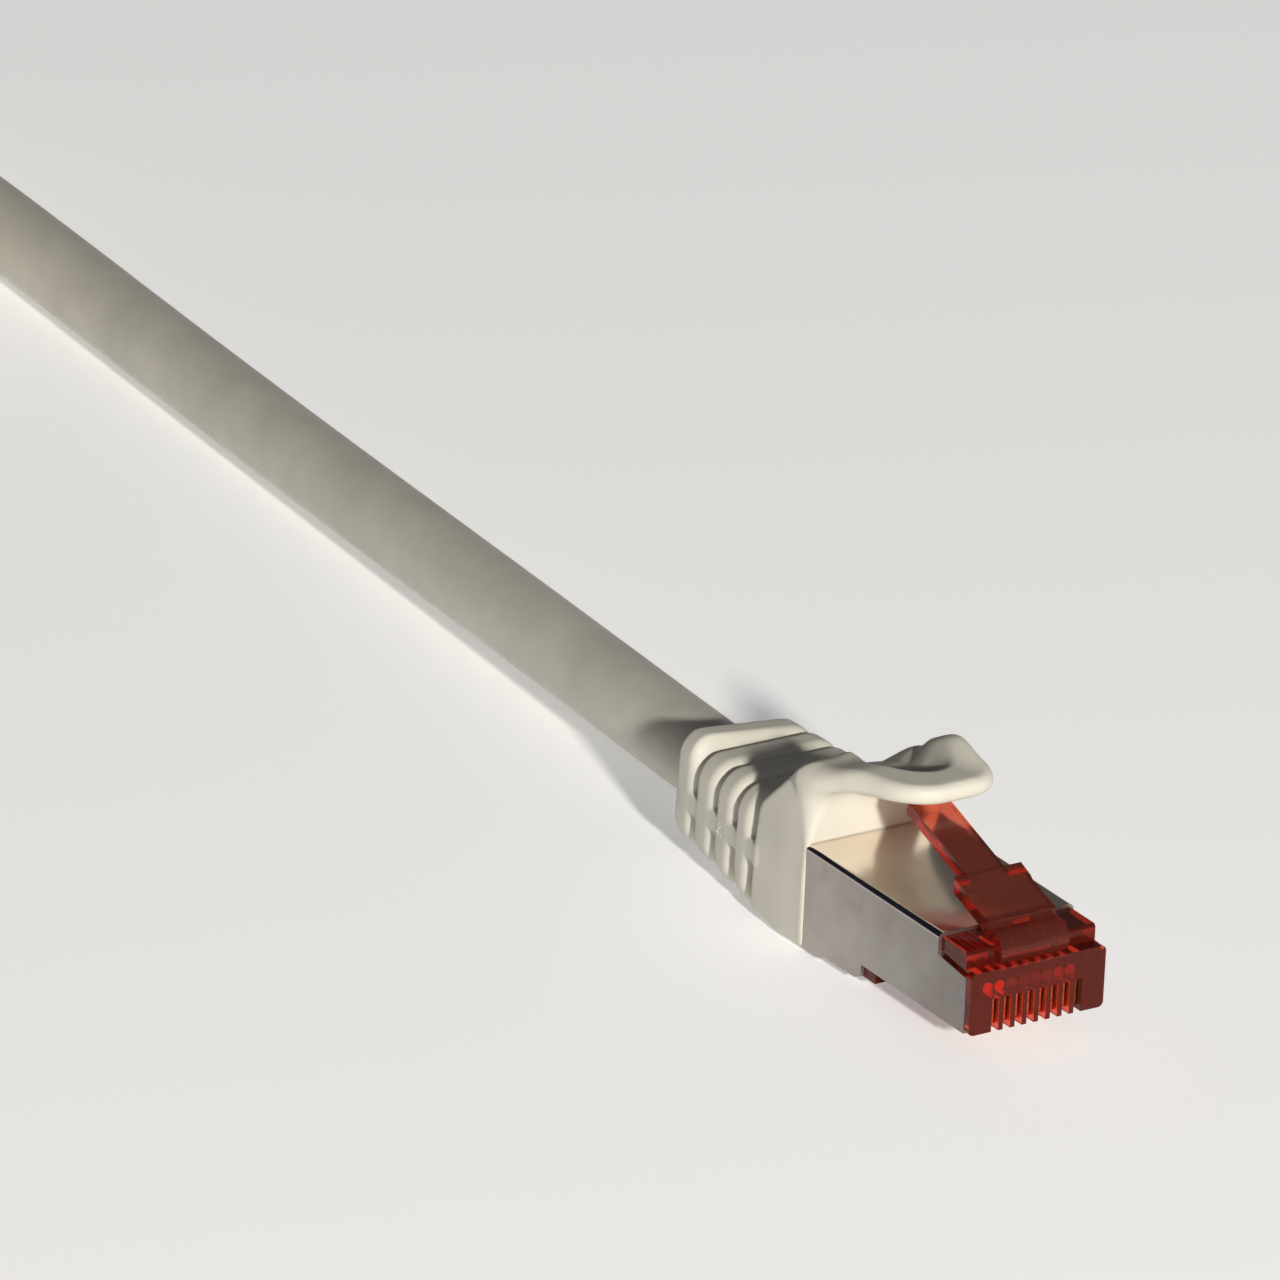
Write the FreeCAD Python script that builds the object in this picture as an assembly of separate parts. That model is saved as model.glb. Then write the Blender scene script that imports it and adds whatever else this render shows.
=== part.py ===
"""Shielded 8P8C ethernet patch cable: two identical moulded ends joined by one round grey lead.

Frame: millimetres, +X out of the near plug's nose, +Z towards its latch, origin at the bottom
centre of the near plug and boot. The lead lies on the surface Z = 0, and its spare length is
wound into a round coil with the far plug beside it.

Each end is drawn in its own end frame: x = 0 at the nose's front face, negative towards the
cable, y = 0 at mid width and z = 0 at the contact side of the nose.
"""
import FreeCAD, Part
import math
import os

Vector = FreeCAD.Vector
X_AXIS = Vector(1, 0, 0)
Y_AXIS = Vector(0, 1, 0)
Z_AXIS = Vector(0, 0, 1)

# Standard plug
plug_width = 11.68
plug_half = plug_width / 2
sheet = 0.28                     # thickness of the nickel-plated shield sheet
core_half = plug_half - sheet    # half width of the plastic between the side sheets
nose_height = 4.85
nose_corner = 0.45
block_top = 6.12                 # top of the plastic behind the nose's shoulder
block_front = -1.1
block_edge = 0.3
shell_top = block_top + sheet
shell_front = -4.35
side_front = -0.65               # front edge of the side sheets
plug_rear = -22.7
foot_front = -12.5               # front of the deeper rear half of the plastic
foot_bottom = -1.0
trough_front = -14.0             # the plastic's rear is an open trough behind this
trough_half = 4.7
trough_bottom = -0.6
tunnel_half = 4.35               # the load bar's tunnel in front of the trough
tunnel_bottom = 1.7
tunnel_top = 4.1
contact_count = 8
contact_pitch = 1.02
slot_width = 0.62
slot_top = 2.6
slot_rear = -7.9
blade_thickness = 0.35
blade_rear = -7.6
blade_front = -1.0
blade_bottom = 0.6
blade_shoulder = 1.9
tooth_xs = (-2.4, -4.4, -6.4)
tooth_half = 0.45

# Shield: outline of its sides, from the nose round to the deeper rear
side_top = 4.35                  # side sheet's height beside the nose
step_top = 4.78                  # and where it meets the front of the top sheet
shell_foot = -1.75
shell_bend = 0.45
shell_lower_edge = [(-19.55, -1.75), (-19.35, -1.4), (-14.8, -1.3), (-14.0, -0.93), (-14.0, 0)]
tongue_half = 1.2
crimp_seam_half = 0.25

# Latch: a wide plate on a round root, and a narrow lever behind it
latch_axis_x = -1.9
latch_axis_z = 5.6
latch_root_radius = 1.35
latch_clearance = 0.08
latch_half = 2.92
lever_half = 1.64
latch_rise = 0.32                # rise per millimetre towards the cable
plate_front = -2.4
plate_front_top = 7.43
plate_rear = -7.1
plate_thickness = 1.05
lock_step_x = -5.55
lock_step = 0.22
lock_slope = 0.25
lever_front = -6.5               # hidden inside the plate
lever_rear = -15.2
lever_tip = 0.9

# Conductors
wire_radius = 0.45
wire_row_z = 2.9
wire_tip = -2.2
comb_front = -8.6
comb_rear = -13.8
fan_front = -14.5
fan_rear = -20.0
pair_offset = 0.5                # half the distance between the two wires of a pair
foil_outer = 2.72
foil_inner = 2.58
foil_front = -20.0

# Cable and its clamping
cable_radius = 3.25
cable_z = 3.15                   # height of the cable's axis in the end frame
jacket_start = -23.4
braid_radius = 3.55
braid_front = -24.2
braid_rear = -29.2
crimp_radius = 3.83
crimp_front = -24.4
crimp_rear = -28.8

# Boot
boot_half = 6.1
boot_front = -21.7
boot_rear = -39.4
boot_bottom = -2.05
collar_rear = -28.2
collar_rear_bottom = -1.45
boot_foot_rear = -25.0           # the collar's foot is flat from here to its front
rib_pitch = 2.53
rib_length = 1.72
rear_rib_length = 2.8
rib_top = 8.9
rib_corner = 2.3
rib_edge = 0.5
rib_bottoms = (-0.45, -0.8, -1.05, -1.3)
groove_half = 5.0
groove_bottom = 0.5
groove_top = 7.7
groove_corner = 1.8
spine_bottom = 2.5
spine_top = 4.6
boot_shoulder = 6.4              # above this height the collar's sides lean inwards
crest_half = 5.0
cavity_radius = 4.3
cavity_rear = -29.6

# Thumb tab that guards and presses the latch
tab_axis_x = -22.6
tab_axis_z = 12.05
tab_root_radius = 1.2
tab_clearance = 0.1
tab_front = -12.8
tab_corner = 3.6

# Where the two ends lie
nose_x = -boot_rear / 2
rest_z = -boot_bottom
coil_mid_radius = 32.5
coil_x = -175.3
coil_y = -24.85
cable_diameter = 2 * cable_radius
outer_turn = coil_mid_radius + cable_radius
inner_turn = coil_mid_radius - cable_radius
coil_layers = 2
far_nose_x = -98.6
far_y = coil_y - outer_turn
axis_height = rest_z + cable_z

# Route of the lead from the near boot to the coil
near_route = [
    Vector(nose_x + jacket_start, 0, axis_height),
    Vector(-19.0, 0, axis_height),
    Vector(-48.0, 2.4, 4.55),
    Vector(-103.0, 6.5, 3.4),
    Vector(-150.5, 10.0, cable_radius),
    Vector(coil_x, coil_y + outer_turn, cable_radius),
]

# Route from the coil's upper layer down into the far boot
far_route = [
    Vector(coil_x, far_y, 3 * cable_radius),
    Vector(-161.3, far_y, 3 * cable_radius),
    Vector(far_nose_x - 38.7, far_y, axis_height),
    Vector(far_nose_x + jacket_start, far_y, axis_height),
]


def block(x_rear, x_front, half_width, z_low, z_high):
    """A box across the middle of the end."""
    corner = Vector(x_rear, -half_width, z_low)
    return Part.makeBox(x_front - x_rear, 2 * half_width, z_high - z_low, corner)


def edges_along(shape, axis):
    """The straight edges that run along an axis."""
    found = []
    for edge in shape.Edges:
        if abs(edge.tangentAt(edge.FirstParameter).dot(axis)) > 0.999:
            found.append(edge)
    return found


def rounded_block(x_rear, x_front, half_width, z_low, z_high, radius):
    """A block whose four long corners are rounded."""
    shape = block(x_rear, x_front, half_width, z_low, z_high)
    return shape.makeFillet(radius, edges_along(shape, X_AXIS))


def face_of(points):
    """A flat face inside a closed outline of straight sides."""
    return Part.Face(Part.makePolygon(points + [points[0]]))


def side_shape(outline, half_width):
    """An outline of (x, z) points, extruded across the middle of the end."""
    points = [Vector(x, -half_width, z) for x, z in outline]
    return face_of(points).extrude(Vector(0, 2 * half_width, 0))


def rod_along_x(x_rear, x_front, radius, y, z):
    return Part.makeCylinder(radius, x_front - x_rear, Vector(x_rear, y, z), X_AXIS)


def rod_across(x, z, radius, half_width):
    return Part.makeCylinder(radius, 2 * half_width, Vector(x, -half_width, z), Y_AXIS)


def contact_ys():
    middle = (contact_count - 1) / 2
    return [(index - middle) * contact_pitch for index in range(contact_count)]


def plug_housing():
    """The clear plastic body, with its contact slots, wire channels and open rear trough."""
    nose = rounded_block(side_front, 0, plug_half, 0, nose_height, nose_corner)
    core = block(plug_rear, side_front, core_half, 0, nose_height)
    upper = block(plug_rear, block_front, core_half, nose_height, block_top)
    upper_front = [e for e in edges_along(upper, Y_AXIS) if e.BoundBox.XMin > block_front - 0.1]
    upper = upper.makeFillet(block_edge, [e for e in upper_front if e.BoundBox.ZMin > block_top - 0.1])
    foot = block(plug_rear, foot_front, core_half, foot_bottom, 0)
    body = nose.fuse([core, upper, foot]).removeSplitter()
    cuts = [
        block(plug_rear - 1, trough_front, trough_half, trough_bottom, block_top + 1),
        block(trough_front - 1, comb_front + 0.1, tunnel_half, tunnel_bottom, tunnel_top),
        rod_across(latch_axis_x, latch_axis_z, latch_root_radius + latch_clearance, latch_half + 0.1),
    ]
    for y in contact_ys():
        slot = block(slot_rear, 1, slot_width / 2, -1, slot_top)
        slot.translate(Vector(0, y, 0))
        cuts.append(slot)
        cuts.append(rod_along_x(comb_front, wire_tip + 0.1, wire_radius + 0.01, y, wire_row_z))
    return body.cut(cuts)


def lever_top(x):
    """Height of the latch's sloping top at a distance from the nose."""
    return plate_front_top + latch_rise * (plate_front - x)


def plug_latch():
    """The locking lever: round root, wide locking plate and narrow finger lever."""
    plate = side_shape([
        (plate_front, plate_front_top),
        (lock_step_x, lever_top(lock_step_x)),
        (lock_step_x - lock_slope, lever_top(lock_step_x) + lock_step),
        (plate_rear, lever_top(plate_rear) + lock_step),
        (plate_rear + 0.15, lever_top(plate_rear) - plate_thickness),
        (plate_front - 0.8, lever_top(plate_front - 0.8) - plate_thickness),
        (plate_front, latch_axis_z),
    ], latch_half)
    lever = side_shape([
        (lever_front, lever_top(lever_front)),
        (lever_rear, lever_top(lever_rear)),
        (lever_rear - 0.2, lever_top(lever_rear) - lever_tip),
        (lever_front, lever_top(lever_front) - plate_thickness),
    ], lever_half)
    root = rod_across(latch_axis_x, latch_axis_z, latch_root_radius, latch_half)
    return root.fuse([plate, lever]).removeSplitter()


def shield_shell():
    """The folded shield: top, two sides, rear floor, and a tongue that carries the crimp ring."""
    outer = side_shape([
        (side_front, 0),
        (side_front, side_top),
        (shell_front, step_top),
        (shell_front, shell_top),
        (plug_rear, shell_top),
        (plug_rear, shell_foot),
    ] + shell_lower_edge, plug_half)
    long_edges = edges_along(outer, X_AXIS)
    outer = outer.makeFillet(shell_bend, [e for e in long_edges if e.BoundBox.ZMin > shell_top - 0.1])
    floor_front = shell_lower_edge[-1][0]
    front_room = block(floor_front, 1, core_half, shell_foot - 1, block_top)
    rear_room = block(plug_rear - 1, floor_front + 0.1, core_half, foot_bottom, block_top)
    tongue = side_shape([
        (plug_rear, block_top),
        (plug_rear, shell_top),
        (crimp_front, cable_z + crimp_radius),
        (crimp_front - 0.6, cable_z + crimp_radius),
        (crimp_front - 0.6, cable_z + braid_radius + 0.12),
        (crimp_front, cable_z + braid_radius + 0.12),
    ], tongue_half)
    ring = rod_along_x(crimp_rear, crimp_front, crimp_radius, 0, cable_z)
    ring = ring.cut(rod_along_x(crimp_rear - 1, crimp_front + 1, braid_radius, 0, cable_z))
    seam = block(crimp_rear - 1, crimp_front + 1, crimp_seam_half, cable_z - crimp_radius - 1, cable_z)
    return outer.cut([front_room, rear_room]).fuse([tongue, ring.cut(seam)]).removeSplitter()


def contacts():
    """Eight gold-plated blades, each with three piercing teeth under its conductor."""
    tooth_tip = wire_row_z - wire_radius - 0.02
    outline = [
        (blade_rear, blade_bottom),
        (blade_front - 0.3, blade_bottom),
        (blade_front, blade_bottom + 0.5),
        (blade_front - 0.3, blade_shoulder),
    ]
    for tooth in tooth_xs:
        outline.append((tooth + tooth_half, blade_shoulder))
        outline.append((tooth, tooth_tip))
        outline.append((tooth - tooth_half, blade_shoulder))
    outline.append((blade_rear, blade_shoulder))
    blades = []
    for y in contact_ys():
        blade = side_shape(outline, blade_thickness / 2)
        blade.translate(Vector(0, y, 0))
        blades.append(blade)
    return Part.makeCompound(blades)


def load_bar():
    """The comb that holds the eight conductors side by side."""
    bar = block(comb_rear, comb_front, tunnel_half - 0.05, tunnel_bottom + 0.05, tunnel_top - 0.05)
    holes = []
    for y in contact_ys():
        holes.append(rod_along_x(comb_rear - 1, comb_front + 1, wire_radius + 0.01, y, wire_row_z))
    return bar.cut(holes)


def conductor(pin_y, pair_y, pair_z):
    """One insulated wire, from the cable's mouth through the fan to its contact."""
    stops = [
        Vector(jacket_start, pair_y, pair_z),
        Vector(fan_rear, pair_y, pair_z),
        Vector(fan_front, pin_y, wire_row_z),
        Vector(wire_tip, pin_y, wire_row_z),
    ]
    pieces = []
    for start, end in zip(stops, stops[1:]):
        run = end - start
        pieces.append(Part.makeCylinder(wire_radius, run.Length, start, run))
    for joint in stops[1:3]:
        pieces.append(Part.makeSphere(wire_radius, joint))
    return pieces[0].fuse(pieces[1:])


def wire_pair(pins, middle_y, pair_z):
    """The two conductors of one colour pair."""
    ys = contact_ys()
    wires = []
    for pin, side in zip(pins, (-1, 1)):
        wires.append(conductor(ys[pin - 1], middle_y + side * pair_offset, pair_z))
    return Part.makeCompound(wires)


def foil_screen():
    """Foil that is wrapped round the four pairs where they leave the jacket."""
    foil = rod_along_x(jacket_start, foil_front, foil_outer, 0, cable_z)
    return foil.cut(rod_along_x(jacket_start - 1, foil_front + 1, foil_inner, 0, cable_z))


def braid_cuff():
    """Screen braid, folded back over the jacket under the crimp ring."""
    cuff = rod_along_x(braid_rear, braid_front, braid_radius, 0, cable_z)
    return cuff.cut(rod_along_x(braid_rear - 1, braid_front + 1, cable_radius, 0, cable_z))


def boot_ribs():
    """Four flexible ribs, from the rear one forwards, on a thinner neck with a spine each side."""
    ribs = []
    for index, bottom in enumerate(rib_bottoms):
        front = boot_rear + rear_rib_length + index * rib_pitch
        rear = boot_rear if index == 0 else front - rib_length
        rib = rounded_block(rear, front, boot_half, bottom, rib_top, rib_corner)
        ribs.append(rib.makeFillet(rib_edge, rib.Edges))
    neck_rear = boot_rear + 0.5
    neck_front = collar_rear + 1
    neck = rounded_block(neck_rear, neck_front, groove_half, groove_bottom, groove_top, groove_corner)
    spine = block(neck_rear + 0.3, neck_front, boot_half - 0.05, spine_bottom, spine_top)
    return neck.fuse([spine] + ribs)


def boot_collar():
    """The block that grips the plug's rear, rising to the crest that carries the thumb tab."""
    profile = side_shape([
        (boot_front, boot_bottom),
        (boot_front, tab_axis_z),
        (tab_axis_x + 0.3, tab_axis_z + 0.9),
        (tab_axis_x - 0.75, tab_axis_z + 0.95),
        (collar_rear + 0.3, 7.9),
        (collar_rear, 7.4),
        (collar_rear, collar_rear_bottom),
        (boot_foot_rear, boot_bottom),
    ], boot_half)
    outline = [
        (-boot_half + 0.6, boot_bottom - 1),
        (boot_half - 0.6, boot_bottom - 1),
        (boot_half, boot_bottom + 0.8),
        (boot_half, boot_shoulder),
        (crest_half, tab_axis_z + 0.9),
        (-crest_half, tab_axis_z + 0.9),
        (-boot_half, boot_shoulder),
        (-boot_half, boot_bottom + 0.8),
    ]
    across = face_of([Vector(collar_rear - 1, y, z) for y, z in outline])
    return profile.common(across.extrude(Vector(boot_front - collar_rear + 2, 0, 0)))


def boot(lead):
    """The moulded boot, open for the plug's rear, the crimp and the lead that is in the end frame."""
    pocket = block(plug_rear, boot_front + 1, plug_half, -1.75, shell_top)
    cavity = rod_along_x(cavity_rear, plug_rear + 0.1, cavity_radius, 0, cable_z)
    seat = rod_across(tab_axis_x, tab_axis_z, tab_root_radius + tab_clearance, boot_half)
    solid = boot_collar().fuse(boot_ribs())
    return solid.cut([pocket, cavity, seat, lead]).removeSplitter()


def spline(points):
    curve = Part.BSplineCurve()
    curve.interpolate([Vector(x, 0, z) for x, z in points])
    return curve.toShape()


def boot_tab():
    """The curved thumb tab: a round root, a waist and a rounded pad that turns up over the latch."""
    top = [(tab_axis_x, tab_axis_z + tab_root_radius), (-19.5, 13.05), (-16.0, 13.5), (tab_front, 14.0)]
    under = [(tab_front, 12.5), (-16.0, 12.25), (-19.5, 11.75), (tab_axis_x + 1.1, tab_axis_z - 0.45)]
    tip = Part.makeLine(Vector(tab_front, 0, top[-1][1]), Vector(tab_front, 0, under[0][1]))
    root_line = Part.makeLine(Vector(under[-1][0], 0, under[-1][1]), Vector(top[0][0], 0, top[0][1]))
    side = Part.Face(Part.Wire([spline(top), tip, spline(under), root_line]))
    side.translate(Vector(0, -crest_half, 0))
    strip = side.extrude(Vector(0, 2 * crest_half, 0))
    plan = face_of([
        Vector(tab_axis_x, -crest_half, 0),
        Vector(-19.5, -4.55, 0),
        Vector(tab_front, -4.4, 0),
        Vector(tab_front, 4.4, 0),
        Vector(-19.5, 4.55, 0),
        Vector(tab_axis_x, crest_half, 0),
    ]).extrude(Vector(0, 0, 30))
    front_corners = [e for e in edges_along(plan, Z_AXIS) if e.BoundBox.XMin > tab_front - 0.1]
    plan = plan.makeFillet(tab_corner, front_corners)
    root = rod_across(tab_axis_x, tab_axis_z, tab_root_radius, crest_half)
    return strip.common(plan).fuse(root).removeSplitter()


def rounded_path(points, label):
    """Straight runs joined by tangent arcs that are as large as the runs allow."""
    edges = []
    start = points[0]
    radii = []
    for before, corner, after in zip(points, points[1:], points[2:]):
        back = (before - corner).normalize()
        ahead = (after - corner).normalize()
        half_turn = (math.pi - back.getAngle(ahead)) / 2
        tangent = 0.45 * min(before.distanceToPoint(corner), after.distanceToPoint(corner))
        radius = tangent / math.tan(half_turn)
        inward = (back + ahead).normalize()
        middle = corner + inward * (radius / math.cos(half_turn) - radius)
        arc_start = corner + back * tangent
        arc_end = corner + ahead * tangent
        edges.append(Part.LineSegment(start, arc_start).toShape())
        edges.append(Part.Arc(arc_start, middle, arc_end).toShape())
        radii.append(round(radius, 1))
        start = arc_end
    edges.append(Part.LineSegment(start, points[-1]).toShape())
    path = Part.Wire(edges)
    print(label, "bend radii", radii, "length", round(path.Length, 1))
    return path


def cable_tube(points, label):
    """The round jacket along a route."""
    path = rounded_path(points, label)
    circle = Part.makeCircle(cable_radius, points[0], points[1] - points[0])
    tube = path.makePipeShell([Part.Wire(circle)], True, False)
    expected = math.pi * cable_radius ** 2 * path.Length
    print(label, "volume over section times length", round(tube.Volume / expected, 4))
    return tube


def cable_coil(leads):
    """The outer shape of the coiled turns, two wide and two high, fitted round both leads."""
    height = coil_layers * cable_diameter
    inside = inner_turn - cable_radius
    outside = outer_turn + cable_radius
    ring = Part.makeCylinder(outside, height).cut(Part.makeCylinder(inside, height))
    ring = ring.makeFillet(cable_radius - 0.25, [e for e in ring.Edges if len(e.Vertexes) == 1])
    ring.translate(Vector(coil_x, coil_y, 0))
    return ring.cut(leads)


def coil_length():
    """Length of the three and a half turns along their axis."""
    outer_share = 0.75 + 0.8
    inner_share = 1.5
    between = 3.5 - outer_share - inner_share
    turns = outer_share * outer_turn + inner_share * inner_turn + between * coil_mid_radius
    return 2 * math.pi * turns


def end_pieces(lead):
    """Every solid of one moulded end, in the end frame."""
    return {
        "plug_housing": plug_housing(),
        "plug_latch": plug_latch(),
        "shield_shell": shield_shell(),
        "contacts": contacts(),
        "load_bar": load_bar(),
        "orange_pair": wire_pair((1, 2), -1.56, cable_z),
        "green_pair": wire_pair((3, 6), 0, cable_z - 1.45),
        "blue_pair": wire_pair((4, 5), 0, cable_z + 1.45),
        "brown_pair": wire_pair((7, 8), 1.56, cable_z),
        "foil_screen": foil_screen(),
        "braid_cuff": braid_cuff(),
        "boot": boot(lead),
        "boot_tab": boot_tab(),
    }


def save(shape, name):
    shape.exportStep("parts/" + name + ".step")


def main():
    os.makedirs("parts", exist_ok=True)
    near_lead = cable_tube(near_route, "near lead")
    far_lead = cable_tube(far_route, "far lead")
    print("coil length", round(coil_length(), 1))
    save(near_lead, "cable_near_lead")
    save(far_lead, "cable_far_lead")
    save(cable_coil([near_lead, far_lead]), "cable_coil")
    ends = {
        "near": (Vector(nose_x, 0, rest_z), near_lead),
        "far": (Vector(far_nose_x, far_y, rest_z), far_lead),
    }
    for end, (place, lead) in ends.items():
        local_lead = lead.translated(-place)
        for name, shape in end_pieces(local_lead).items():
            save(shape.translated(place), end + "_" + name)


main()
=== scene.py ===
"""Looks of the ethernet patch cable: soft moulded boots, clear red plugs, nickel shields, grey lead."""
import math

import bmesh
import bpy
import numpy as np
from mathutils import Matrix, Vector


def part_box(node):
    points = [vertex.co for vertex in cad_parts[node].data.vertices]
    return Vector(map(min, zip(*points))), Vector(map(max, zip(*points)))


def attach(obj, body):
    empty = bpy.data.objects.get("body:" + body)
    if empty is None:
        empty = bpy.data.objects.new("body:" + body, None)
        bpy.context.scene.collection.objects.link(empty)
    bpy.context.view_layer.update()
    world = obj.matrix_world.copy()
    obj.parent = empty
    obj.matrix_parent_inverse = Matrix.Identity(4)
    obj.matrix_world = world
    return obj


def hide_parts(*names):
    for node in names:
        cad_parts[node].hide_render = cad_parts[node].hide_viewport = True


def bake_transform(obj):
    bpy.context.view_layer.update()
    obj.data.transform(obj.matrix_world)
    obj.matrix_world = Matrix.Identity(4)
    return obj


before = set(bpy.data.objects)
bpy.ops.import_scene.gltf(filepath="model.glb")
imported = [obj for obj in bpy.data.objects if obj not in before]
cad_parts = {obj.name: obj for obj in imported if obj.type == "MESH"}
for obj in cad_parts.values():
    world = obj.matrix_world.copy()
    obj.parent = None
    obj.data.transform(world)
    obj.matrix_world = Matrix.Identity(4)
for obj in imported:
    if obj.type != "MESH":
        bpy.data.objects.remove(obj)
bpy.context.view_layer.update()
scene = bpy.context.scene
MM = 0.001
ENDS = ("near", "far")

# Sizes in millimetres, in the end frame of part.py: x = 0 at the nose, z = 0 at the contact side
FOOT_DEPTH = 1.0                 # the housing's lowest face below z = 0
CABLE_RADIUS = 3.25
CABLE_Z = 3.15

# Boot: collar and crest
BOOT_HALF = 6.1
BOOT_FRONT = -21.7
BOOT_BOTTOM = -2.05
COLLAR_REAR_BOTTOM = -1.45
FOOT_SLOPE_START = -25.0         # the collar's foot slopes up behind this
RAMP_X = -27.9                   # a point on the ramp behind the crest
RAMP_Z = 7.65
RAMP_NORMAL = (0.717, 0.697)     # and its slope: x and z of the ramp's normal
CAVITY_ROOF = 0.7                # the cavity under the ramp stays this far below it
LEAN_RUN = 1.1                   # the crest's sides lean in by this much
LEAN_RISE = 6.7                  # over this height
MOUTH_TAPER = 0.1                # the boot's sides draw in to the shield at its mouth
POCKET_HALF = 5.62               # the boot's wall is pressed against the shield's sheet
POCKET_REAR = -22.75
SHELL_TOP = 6.4
CREST_Z = 12.45
BOOT_CELL = 0.19                 # spacing of the grid that the boot's surface is drawn from

# Boot: ribbed tail
RIB_REARS = (-40.1, -37.1, -34.05, -31.1, -28.45)    # rear edges of the four ribs and the collar
RIB_BOTTOMS = (-0.7, -1.05, -1.45, -1.8)
RIB_GAP = 0.55
RIB_FRONT_ROUND = 1.0
RIB_CORNER = 2.1
CORE_HALF = 4.7
CORE_CORNER = 1.6
CORE_BELOW = 1.5                 # the core is this much shorter than the ribs below
CORE_ABOVE = 1.1                 # and above
SLEEVE_RADIUS = 4.15             # the core swells over the shield's crimp ring
SPINE_LOW = 2.35
SPINE_HIGH = 4.05
TAIL_Z = 3.1
TAIL_HALF_HEIGHT = 4.52
TAIL_TAPER = 0.065               # the tail narrows towards the cable
TAIL_LEAN = 0.06                 # its ribs lean forwards at the top
END_RISE = 0.7                   # the last rib stands higher on the near side
END_ROLL = 0.1                   # and falls towards the far side
GATE = (-33.3, -5.78, 3.1)
GATE_GRAINS = 14

# Boot: thumb tab
TAB_FRONT = -13.1
TAB_REAR = -23.2
TAB_ROOT_HALF = 5.3
TAB_NARROWING = 1.15             # it is this much narrower at its front, on each side
TAB_DRIFT = 0.16                 # and its middle line leans to the far side
TAB_RISE = 0.75                  # the pad stands this much above the crest
TAB_UNDER_Z = 10.75
NEAR_CORNER = 3.2                # the tab's front corners, seen from above
FAR_CORNER = 2.3
SCOOP_X = -20.0                  # the scoop's front half is an ellipse about this place
SCOOP_Y = 0.6
SCOOP_LENGTH = 4.3
SCOOP_HALF = 3.05
SCOOP_DEPTH = 1.55
RIM_RISE = 1.2                   # the raised far rim of the pad
RIM_X = -18.3
RIM_LENGTH = 3.4

# Contact blades
CONTACT_COUNT = 8
CONTACT_PITCH = 1.02
BLADE_THICKNESS = 0.42
BLADE_REAR = -7.6
BLADE_FRONT = -0.55
BLADE_BOTTOM = 0.12
BLADE_TOP = 2.5
BLADE_SHOULDER = 1.9
BLADE_NOSE = 0.5                 # radius of a blade's lower front corner
BLADE_FRONT_WIDTH = 0.8          # the blade is tall only this far back
TOOTH_XS = (-2.4, -4.4, -6.4)
TOOTH_HALF = 0.45
TOOTH_TIP = 2.43

BOOT_GRID_LOW = (-40.8, -6.8, -2.8)
BOOT_GRID_HIGH = (-11.5, 6.8, 15.2)

SOFT_EDGE = 0.12                 # rounding of the clear parts' edges


def place_of(end):
    """Where the end frame's origin lies in the row frame, in metres."""
    low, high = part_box(end + "_plug_housing")
    return Vector((high.x, (low.y + high.y) / 2, low.z + FOOT_DEPTH * MM))


def link(piece):
    scene.collection.objects.link(piece)
    return piece


# ---------------------------------------------------------------- shapes as distance fields

def soft_min(a, b, k):
    """Union of two fields with a fillet of about k."""
    h = np.clip(0.5 + 0.5 * (b - a) / k, 0, 1)
    return b * (1 - h) + a * h - k * h * (1 - h)


def soft_max(a, b, k):
    """Intersection of two fields with a rounding of about k."""
    return -soft_min(-a, -b, k)


def round_box(p, low, high, radius):
    low, high = np.array(low), np.array(high)
    q = np.abs(p - (low + high) / 2) - (high - low) / 2 + radius
    outside = np.linalg.norm(np.maximum(q, 0), axis=-1)
    return outside + np.minimum(q.max(axis=-1), 0) - radius


def two_way(a, b, edge):
    """Intersection of two fields whose shared edge has a round of radius edge."""
    a = a + edge
    b = b + edge
    return np.hypot(np.maximum(a, 0), np.maximum(b, 0)) + np.minimum(np.maximum(a, b), 0) - edge


def cross_section(p, half, low, high, corner):
    """An endless bar along x whose outline has rounded corners."""
    qy = np.abs(p[..., 1]) - half + corner
    qz = np.abs(p[..., 2] - (low + high) / 2) - (high - low) / 2 + corner
    return np.hypot(np.maximum(qy, 0), np.maximum(qz, 0)) + np.minimum(np.maximum(qy, qz), 0) - corner


def rod(p, rear, front, radius, z):
    """A rod along x."""
    across = np.hypot(p[..., 1], p[..., 2] - z) - radius
    along = np.abs(p[..., 0] - (rear + front) / 2) - (front - rear) / 2
    return np.maximum(across, along)


def smooth_step(a, b, value):
    t = np.clip((value - a) / (b - a), 0, 1)
    return t * t * (3 - 2 * t)


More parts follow.
